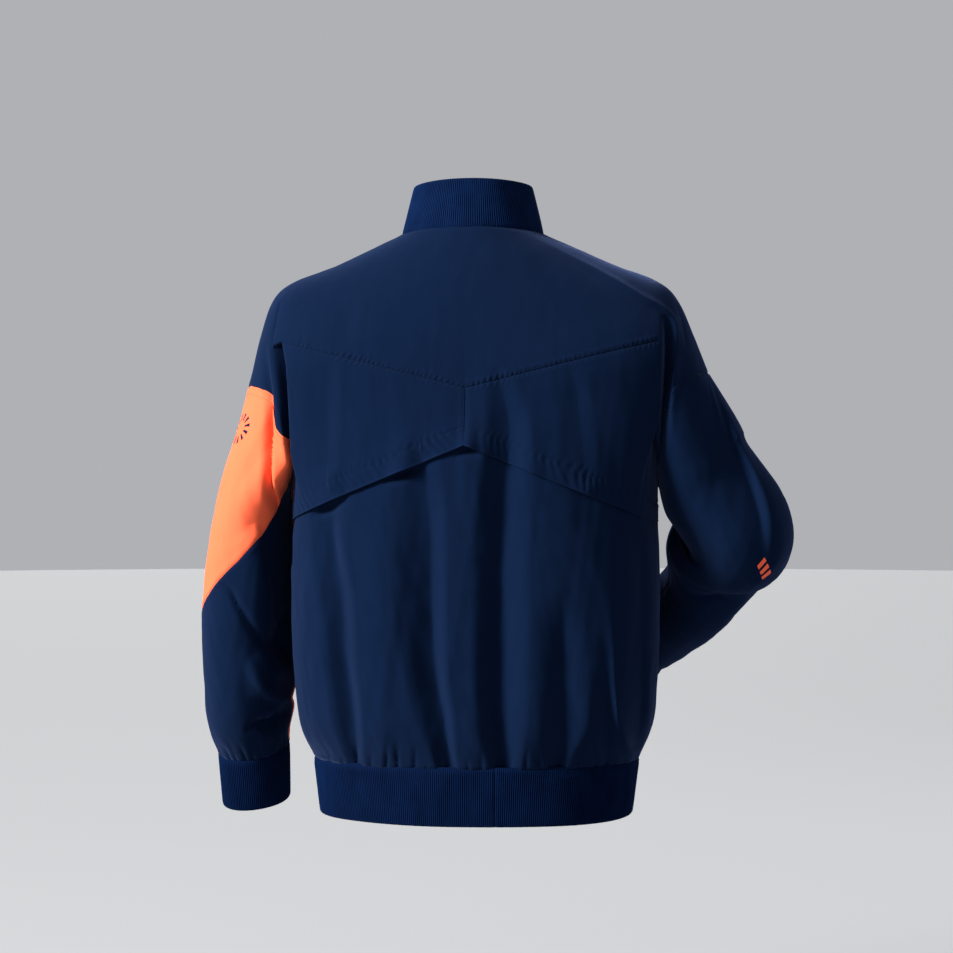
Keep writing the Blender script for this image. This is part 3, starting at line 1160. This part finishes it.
# ------------------------------------------------------------------------- fronts
upper_places = stretches(((0, 1, 16, 0), (1, 2, 16, 0), (2, 3, 18, 0), (3, 4, 16, 2)))
lower_places = stretches(((4, 5, 28, 0), (5, 6, 28, 0), (6, 7, 26, 0), (7, 8, 18, 0), (8, 9, 20, 2)))
FRONT_SEEDS = {1: 11, -1: 12}
for side, name in ((1, "front_left"), (-1, "front_right")):
    columns = stretches(((17, 23, 38, 0), (23, 29, 40, 0), (29, 30, 10, 2)))
    if side < 0:
        columns = -columns[::-1]
    base, outs = torso_grid(columns, upper_places, lower_places)
    across = base[..., 0] / MM
    waist = from_seam(base, waist_seam)[0]
    table = seeded_gathers(FRONT_SEEDS[side], 14.0, 190.0, 9.0, 17.0)
    armhole, run = from_seam(base, armhole_seam[side])
    opening, along = from_seam(base, zip_edge[side])
    small = slack(base) + groove(waist, deep=1.1, wide=2.0) + gathers(waist, np.abs(across), table)
    small += groove(from_seam(base, neck_seam)[0], deep=0.9) + groove(armhole, deep=0.8)
    small += puckers(armhole, run, high=0.25, tall=9.0, wave=9.3, slant=0.4)
    small += groove(from_seam(base, shoulder_seam[side])[0], deep=0.7)
    small += groove(from_seam(base, side_seam[side])[0], deep=0.7)
    small += 0.4 * ease((2.0 - opening) / 2.0) - 0.3 * bump((opening - 7.0) / 2.0)
    small += puckers(opening, along, high=0.35, tall=16.0, wave=17.0, slant=0.3)
    finished = settle(base, outs, small)
    count = len(upper_places)
    ids = numbered(finished)
    joined = np.abs(columns) >= FRONT_FOLD_COLUMN - 1e-9
    ids[count, joined] = ids[count - 1, joined]
    keep = np.ones((len(ids) - 1, len(columns) - 1), dtype=bool)
    keep[count - 1] = False
    piece = cloth_piece(name, finished, grid_cells(ids, keep), grid_uvs(base), taffeta_navy)
    both = with_outs(finished, outs)
    inward = both.transpose(1, 0, 2)
    inward = inward[::-1] if side > 0 else inward
    thread_lines.append(beside(inward, ZIP_STITCH))
    thread_lines.append(beside(both[:count], EDGE_STITCH))

# ------------------------------------------------------------------------ sleeves
SLEEVE_PLACES = stretches(((0, ROUND, 168, 0),))
# width of one place of a sleeve's cloth
PLACE_WIDE = 0.0158


def sleeve_uvs(places, base):
    """Cloth coordinates of a sleeve: round it by place, along it by length."""
    along = lengths(base, 0)
    return np.stack(np.broadcast_arrays(places * PLACE_WIDE, along), axis=-1)


def sleeve_middles(side, stations):
    fine, run = SLEEVE_DATA[side][:2]
    mid_x = np.interp(stations, fine, run[:, 0])
    mid_y = np.interp(stations, fine, run[:, 1]) * ease(stations)
    return mid_x, mid_y


def sleeve_sheet(side, places, stations, seams, seed):
    """A finished part of a sleeve and its unfolded form."""
    base, outs = sleeve_grid(side, places, stations)
    mid_x, mid_y = sleeve_middles(side, stations)
    armhole, run = from_seam(base, armhole_seam[side])
    cuff, round_cuff = from_seam(base, cuff_seam[side])
    small = slack(base) + groove(armhole, deep=0.8)
    small += puckers(armhole, run, high=0.3, tall=11.0, wave=10.3, slant=0.5)
    small += groove(from_seam(base, under_seam[side])[0], deep=0.6) * (stations > 0.1)
    table = seeded_gathers(seed, 6.0, 235.0, 8.0, 14.0)
    small += groove(cuff, deep=1.1, wide=2.0) + gathers(cuff, round_cuff, table)
    for seam in seams:
        small += groove(from_seam(base, seam)[0], deep=0.8)
    recess = LEFT_RECESS if side > 0 else ()
    finished = settle(base, outs, small, mid_x, mid_y, ease(stations / CREASE_STATIONS), recess)
    return finished, base, with_outs(finished, outs)


places = SLEEVE_PLACES[None, :]
share = stretches(((0, 1, 92, 1),))[:, None]
ends = block_end(places)
finished, base, both = sleeve_sheet(1, places + 0 * share, ends * share, [block_seam], 21)
ids = numbered(finished)
BLOCK_CELLS = grid_cells(ids)
block_uvs = sleeve_uvs(places, base)
block_surface = finished
thread_lines_coral = [beside(both, HEAD_STITCH), beside(both, SECOND_STITCH),
                      beside(both[::-1], EDGE_STITCH)]

finished, base, both = sleeve_sheet(1, places + 0 * share, ends + (LAST_STATION - ends) * share,
                                    [block_seam], 21)
piece = cloth_piece("sleeve_left_lower", finished, BLOCK_CELLS, sleeve_uvs(places, base), taffeta_navy)

places = SLEEVE_PLACES[:-1][None, :]
stations = stretches(((0, 1, 30, 0), (1, 3, 56, 0), (3, 5, 44, 0), (5, 6, 22, 2)))[:, None]
finished, base, both = sleeve_sheet(-1, places + 0 * stations, stations + 0 * places, [], 22)
ids = numbered(finished)
right_cells = grid_cells(ids, wrap=True)[:, ::-1]
right_uvs = sleeve_uvs(places, base)
right_surface = finished
thread_lines.append(beside(both, HEAD_STITCH))


# ------------------------------------------------------------------ generic prints
BADGE_AT = (0.268, -0.224)
DASHES_AT = (-0.3245, -0.3775)
DASHES_TURN = -0.30
DASH_STEP = 0.0125
DASH_SHARE = 0.30
DASHES_HALF = 0.018
DASH_HALF = 0.0048
SPOKES = 12
SPOKE_SHARE = 0.42
BADGE_INNER = 0.010
BADGE_OUTER = 0.019


def cloth_place(surface, uvs, at, middle_y):
    """The cloth coordinates of the point of a sleeve's back that stands at (x, z)."""
    flat = surface.reshape(-1, 3)
    apart = np.hypot(flat[:, 0] - at[0], flat[:, 2] - at[1]) + (flat[:, 1] < middle_y)
    return uvs.reshape(-1, 2)[int(np.argmin(apart))]


def badge(material, source, base):
    """A ring of short spokes in the navy of the shell."""
    u, v = centred(material, source, cloth_place(block_surface, block_uvs, BADGE_AT, 0.0), 0.0)
    away = calc(material, "SQRT", calc(material, "ADD", calc(material, "MULTIPLY", u, u),
                                       calc(material, "MULTIPLY", v, v)))
    turn = calc(material, "ARCTAN2", u, v)
    spoke = calc(material, "FRACT", calc(material, "MULTIPLY", turn, SPOKES / (2 * math.pi)))
    mask = calc(material, "LESS_THAN", spoke, SPOKE_SHARE)
    mask = calc(material, "MULTIPLY", mask, calc(material, "GREATER_THAN", away, BADGE_INNER))
    mask = calc(material, "MULTIPLY", mask, calc(material, "LESS_THAN", away, BADGE_OUTER))
    return painted(material, base, mask, NAVY)


def dashes(material, source, base):
    """A short row of plain bars in the colour of the block."""
    middle = cloth_place(right_surface, right_uvs, DASHES_AT, 0.0)
    u, v = centred(material, source, middle, DASHES_TURN)
    step = calc(material, "FRACT", calc(material, "MULTIPLY_ADD", v, 1 / DASH_STEP, 0.5))
    off = calc(material, "ABSOLUTE", calc(material, "SUBTRACT", step, 0.5))
    mask = calc(material, "LESS_THAN", off, DASH_SHARE)
    for value, half in ((v, DASHES_HALF), (u, DASH_HALF)):
        near = calc(material, "LESS_THAN", calc(material, "ABSOLUTE", value), half)
        mask = calc(material, "MULTIPLY", mask, near)
    return painted(material, base, mask, CORAL)


piece = cloth_piece("sleeve_left_block", block_surface, BLOCK_CELLS, block_uvs,
                    taffeta("coral_taffeta", CORAL, 0.5, CORAL_EDGE, badge))
piece = cloth_piece("sleeve_right", right_surface, right_cells, right_uvs,
                    taffeta("navy_taffeta_dashes", NAVY, 0.5, NAVY_EDGE, dashes))
stitches("stitches_navy", thread_lines, thread_navy)
stitches("stitches_coral", thread_lines_coral, thread_coral)

# --------------------------------------------------------------------- rib bands
RIB_PITCH = 0.0023
RIB_SHAPE = (0.35, 0.08, -0.45, 0.08)
RIB_VALLEY = (0.0, 0.45, 1.0, 0.45)
RIB_POINTS = len(RIB_SHAPE)
# section of a band from its seam over the fold of its edge and back inside:
# length along it, out from its middle, how strong the ribs are, in mm
BAND_ENDS = ((-3.0, -0.9, 0.1), (-0.2, 0.1, 0.5), (1.4, 1.2, 1.0))
BAND_TURN = ((-4.0, 1.3, 1.0), (-1.5, 1.1, 0.9), (-0.3, 0.6, 0.5), (0.0, 0.0, 0.2), (-0.4, -0.7, 0.2),
             (-2.5, -1.1, 0.4))


def band_section(tall):
    """Section rows of a band of that height in mm, with plain rows between seam and edge."""
    rows = list(BAND_ENDS)
    rows += [(tall * part, 1.35, 1.0) for part in (0.12, 0.26, 0.40, 0.54, 0.68, 0.82)]
    rows += [(tall + along, out, rib) for along, out, rib in BAND_TURN]
    rows += [(tall * part, -1.15, 0.5) for part in (0.6, 0.3)]
    return np.array(rows + [(-2.0, -1.6, 0.1)])


def rib_band(name, ring_at, tall, closed, relief, material=rib_navy):
    """A knitted band round a ring; ring_at gives its points at a part of its height."""
    rows = band_section(tall / MM)
    run = run_along(ring_at(0.5))
    ribs = int(round(run[-1] / RIB_PITCH))
    count = RIB_POINTS * ribs + (0 if closed else 1)
    at = np.arange(count) / (RIB_POINTS * ribs) * run[-1]
    here = np.interp(at, run, np.arange(len(run)))
    phase = np.arange(count) % RIB_POINTS

    def ring(part):
        return sampled(here, np.arange(len(run)), ring_at(part))

    upright = ring(0.9) - ring(0.1)
    if closed:
        along = np.roll(ring(0.5), -1, axis=0) - np.roll(ring(0.5), 1, axis=0)
    else:
        along = np.gradient(ring(0.5), axis=0)
    outs = unit(np.cross(along, upright))
    outs = outs * np.sign((outs * (ring(0.5) - ring(0.5).mean(axis=0))).sum(axis=1).sum())
    shape = np.array(RIB_SHAPE)[phase]
    grid = []
    for length, out, rib in rows:
        points = ring(length * MM / tall)
        push = out + rib * shape
        push = push + relief(points, length, at / MM)
        grid.append(points + outs * (push * MM)[:, None])
    grid = np.array(grid)
    ids = numbered(grid)
    around = np.concatenate([ids, ids[:1]])
    faces = grid_cells(around, wrap=closed)
    flat_points = grid.reshape(-1, 3)
    if closed:
        facing = band_volume(flat_points, faces)
    else:
        corner = flat_points[faces[: len(faces) // 20]]
        facing = (np.cross(corner[:, 2] - corner[:, 0], corner[:, 3] - corner[:, 1]) * outs[:1]).sum()
    if facing < 0:
        faces = faces[:, ::-1]
    if not closed:
        last = len(grid) - 1
        for column in (0, grid.shape[1] - 1):
            for k in range(len(grid) // 2):
                cap = [ids[k, column], ids[k + 1, column], ids[last - k - 1, column], ids[last - k, column]]
                if len(set(cap)) == 4:
                    faces = np.vstack([faces, [cap]])
    uvs = np.stack(np.broadcast_arrays(at[None, :], rows[:, :1] * MM), axis=-1).reshape(-1, 2)
    piece = mesh_object(name + "_knit", flat_points, faces, material, uvs=uvs, sharp=75.0)
    set_valleys(piece, np.broadcast_to(np.array(RIB_VALLEY)[phase], grid.shape[:2]).ravel())
    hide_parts(name)
    return piece


def band_volume(points, faces):
    """Signed volume of a closed band, positive if its cells face outward."""
    a, b, c, d = (points[faces[:, k]] for k in range(4))
    return (np.cross(b - a, c - a) * a).sum() + (np.cross(c - a, d - a) * a).sum()


def set_valleys(piece, values):
    layer = piece.data.attributes.new("valley", "FLOAT", "POINT")
    layer.data.foreach_set("value", np.ascontiguousarray(values, dtype=np.float32))


WHOLE_COLUMNS = np.arange(-ZIP_COLUMN, ZIP_COLUMN + 1).astype(float)
BAND_COLUMNS = np.linspace(-ZIP_COLUMN, ZIP_COLUMN, 1801)
neck_ring = torso(BAND_COLUMNS, [0.0], True)[0]
neck_middle = torso(WHOLE_COLUMNS, [0.0], True)[0].mean(axis=0) * (1, 1, 0)
waist_ring = torso(BAND_COLUMNS, [float(LAST_LEVEL)], False)[0]
waist_middle = torso(WHOLE_COLUMNS, [float(LAST_LEVEL)], False)[0].mean(axis=0) * (1, 1, 0)


def lean(base, middle, rise, shrink_x, shrink_y):
    """A ring stood on a base ring, drawn in towards its middle."""
    ring = middle + (base - middle) * (1 - shrink_x, 1 - shrink_y, 1)
    ring[:, 2] = base[:, 2] + rise
    near_zip = np.maximum(0.0, 1.0 - (ZIP_COLUMN - np.abs(BAND_COLUMNS)))
    squeezed = np.abs(ring[:, 0]) < ZIP_EDGE
    ring[:, 0] = np.where(squeezed & (near_zip > 0), np.sign(BAND_COLUMNS) * ZIP_EDGE, ring[:, 0])
    return ring


def collar_ring(part):
    return lean(neck_ring, neck_middle, COLLAR_TALL * part, 0.17 * part, 0.14 * part)


def waistband_ring(part):
    return lean(waist_ring, waist_middle, -WAISTBAND_TALL * part, 0.04 * part, 0.01 * part)


JOIN_X = -31.0


def waistband_relief(points, length, run):
    """The band's join at the back and its slow waves, in mm."""
    across = points[:, 0] / MM
    join = -0.9 * np.exp(-((across - JOIN_X) / 1.3) ** 2) * (points[:, 1] > 0)
    wave = 0.9 * np.sin(run / 27.0 + 1.0) + 0.7 * np.sin(run / 11.3) * (1 - length / 70.0)
    return join + wave * ease(length / 8.0)


def collar_relief(points, length, run):
    return 0.5 * np.sin(run / 21.0 + 2.0) * ease(length / 20.0)


def cuff_relief(points, length, run):
    return 0.6 * np.sin(run / 13.0 + 0.7) * ease(length / 14.0)


rib_band("collar", collar_ring, COLLAR_TALL, False,
         collar_relief, rib_collar)
rib_band("waistband", waistband_ring, WAISTBAND_TALL, False,
         waistband_relief)
CUFF_PLACES = np.linspace(0.0, ROUND, 701)
for side, name in ((1, "cuff_left"), (-1, "cuff_right")):
    def cuff_ring(part, side=side):
        return cuff_grid(side, CUFF_PLACES, np.full(CUFF_PLACES.shape, part))

    cuff_tall = float(np.linalg.norm(cuff_ring(1.0) - cuff_ring(0.0), axis=1).mean())
    rib_band(name, cuff_ring, cuff_tall, True, cuff_relief)

# ---------------------------------------------------------------------------- zip
TOOTH_PITCH = 0.0015
TOOTH_FROM = 0.0135
TOOTH_TO = 0.003
# corners of one tooth: across from its own side, up, out, in mm
TOOTH_SHAPE = ((-0.5, -0.45, -0.9), (2.6, -0.60, -1.1), (2.6, 0.60, -1.1), (-0.5, 0.45, -0.9),
               (-0.3, -0.40, 0.9), (2.4, -0.50, 1.1), (2.4, 0.50, 1.1), (-0.3, 0.40, 0.9))
TOOTH_CELLS = ((3, 2, 1, 0), (4, 5, 6, 7), (0, 1, 5, 4), (1, 2, 6, 5), (2, 3, 7, 6), (3, 0, 4, 7))
CHAIN_DEPTH = 0.0010

front_line = np.concatenate([
    collar_ring(np.array(1.0))[-1:], collar_ring(0.45)[-1:],
    torso(np.array([float(ZIP_COLUMN)]), np.linspace(0, 4, 41)[:-1], True)[:, 0],
    torso(np.array([float(ZIP_COLUMN)]), np.linspace(4, 9, 61), False)[:, 0],
    waistband_ring(1.0)[-1:]])[:, 1:]
front_run = run_along(front_line)
at = np.arange(TOOTH_FROM, front_run[-1] - TOOTH_TO, TOOTH_PITCH / 2)


def on_front(where):
    return sampled(where, front_run, front_line)


down = unit(on_front(at + 0.004) - on_front(at - 0.004))
out = np.stack([down[:, 1], -down[:, 0]], axis=-1)
hand = np.where(np.arange(len(at)) % 2 == 0, 1.0, -1.0)
corners = np.array(TOOTH_SHAPE) * MM
teeth = np.zeros((len(at), 8, 3))
teeth[..., 0] = corners[None, :, 0] * hand[:, None]
centre = on_front(at) - out * CHAIN_DEPTH
teeth[..., 1:] = (centre[:, None] - down[:, None] * corners[None, :, 1:2]
                  + out[:, None] * corners[None, :, 2:3])
cells = np.where((hand > 0)[:, None, None], np.array(TOOTH_CELLS)[None],
                 np.array(TOOTH_CELLS)[None, :, ::-1])
faces = (cells + (np.arange(len(at)) * 8)[:, None, None]).reshape(-1, 4)
coil = grained("zip_teeth_plastic", (0.014, 0.020, 0.045), rough=0.32, metallic=0.0, scale=700.0,
               strength=0.2, distance=0.0002)
piece = mesh_object("zip_teeth", teeth.reshape(-1, 3), faces, coil)
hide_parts("zip_chain")

tape_cloth = taffeta("zip_tape_weave", (0.016, 0.024, 0.055), 0.75, NAVY_EDGE)
paint = grained("zip_black_paint", (0.022, 0.022, 0.027), rough=0.3, metallic=1.0, scale=1200.0,
                strength=0.15, distance=0.0001)
for name, material in (("zip_tape_left", tape_cloth), ("zip_tape_right", tape_cloth),
                       ("zip_slider", paint), ("zip_pull", paint)):
    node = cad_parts[name]
    for number in range(len(node.material_slots)):
        node.material_slots[number].material = material
for name in ("zip_slider", "zip_pull"):
    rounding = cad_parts[name].modifiers.new("rounded", "BEVEL")
    rounding.width = 0.0004
    rounding.segments = 2

# ----------------------------------------------------------- floor, light, camera
FLOOR_AT = -1.02
FLOOR_REACH = 14.0
FLOOR_CORNERS = 96
ring = np.linspace(0, 2 * np.pi, FLOOR_CORNERS + 1)[:-1]
floor_points = np.stack([FLOOR_REACH * np.cos(ring), FLOOR_REACH * np.sin(ring),
                         np.full(FLOOR_CORNERS, FLOOR_AT)], axis=-1)
floor_mesh = bpy.data.meshes.new("floor")
floor_mesh.from_pydata(floor_points.tolist(), [], [list(range(FLOOR_CORNERS))])
floor = bpy.data.objects.new("floor", floor_mesh)
bpy.context.scene.collection.objects.link(floor)
floor_paint, shader = new_material("pale_floor", (0.27, 0.275, 0.285), 0.9)
floor_mesh.materials.append(floor_paint)

world = bpy.data.worlds.new("pale_room")
world.use_nodes = True
world.node_tree.nodes["Background"].inputs["Color"].default_value = (0.86, 0.88, 0.92, 1.0)
world.node_tree.nodes["Background"].inputs["Strength"].default_value = 0.50
bpy.context.scene.world = world
bpy.context.scene.view_settings.view_transform = "Standard"


def lamp(name, kind, place, aim, power, colour):
    """A light that shines from a place towards an aim; returned so that its size can be set."""
    light = bpy.data.lights.new(name, kind)
    light.energy = power
    light.color = colour
    body = bpy.data.objects.new(name, light)
    body.location = place
    body.rotation_euler = (Vector(aim) - Vector(place)).to_track_quat("-Z", "Y").to_euler()
    bpy.context.scene.collection.objects.link(body)
    return light


WHITE = (1.0, 1.0, 1.0)
WARM = (1.0, 0.985, 0.96)
COOL = (0.90, 0.95, 1.0)
MIDDLE = (0.0, 0.0, 0.0)
lamp("key", "SUN", (3.0, 1.68, 1.6), MIDDLE, 6.8, WARM).angle = math.radians(14.0)
lamp("front_fill", "SUN", (0.8, -3.0, 1.9), MIDDLE, 2.6, WHITE).angle = math.radians(30.0)
lamp("near_key", "AREA", (2.2, 1.5, 0.9), (0.0, 0.0, -0.3), 70.0, WARM).size = 1.0
lamp("rim", "AREA", (-2.2, -1.9, 1.0), (-0.2, 0.0, -0.2), 16.0, COOL).size = 0.8

VIEW_TURN = math.radians(5.0)
VIEW_FAR = 2.3
VIEW_HIGH = -0.277
SENSOR = 36.0
FOCAL_SHARE = 2000.0 / 953.0
eye = bpy.data.cameras.new("photo_view")
eye.sensor_width = SENSOR
eye.lens = SENSOR * FOCAL_SHARE
camera = bpy.data.objects.new("photo_view", eye)
camera.location = (-VIEW_FAR * math.sin(VIEW_TURN), VIEW_FAR * math.cos(VIEW_TURN), VIEW_HIGH)
look = Vector((math.sin(VIEW_TURN), -math.cos(VIEW_TURN), 0.0))
camera.rotation_euler = look.to_track_quat("-Z", "Y").to_euler()
bpy.context.scene.collection.objects.link(camera)
bpy.context.scene.camera = camera
